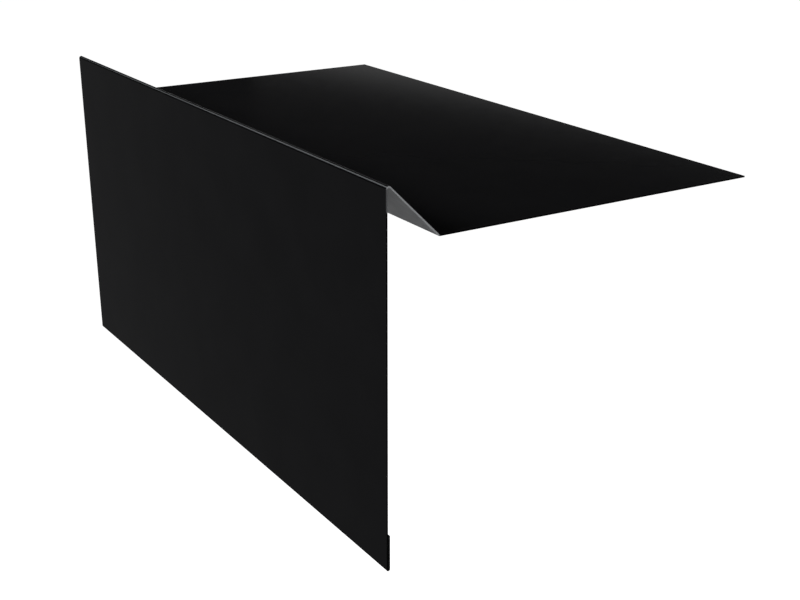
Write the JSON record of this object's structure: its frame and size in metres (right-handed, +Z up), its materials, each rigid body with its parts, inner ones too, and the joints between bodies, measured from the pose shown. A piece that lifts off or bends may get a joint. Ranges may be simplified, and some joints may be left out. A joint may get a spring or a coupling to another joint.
{
  "type": "verge flashing",
  "caption": "Folded steel verge flashing: a flat deck flange, a raised rib and a drop face with a closed hem that hangs over the barge board.",
  "frame": {"origin": "middle of the flange's underside, on the plane of the roof deck, half way along the piece", "axes": "+Z up, away from the deck; +Y along the roof edge; +X from the drop face towards the flange's free edge"},
  "size_m": [0.1718, 0.3, 0.15],
  "materials": {
    "coil_coated_steel": "black semi-gloss polyester on the weather side, light grey coat on the back, bare cut edges"
  },
  "bodies": {
    "root": {"verge_flashing": "coil_coated_steel"}
  },
  "joints": []
}
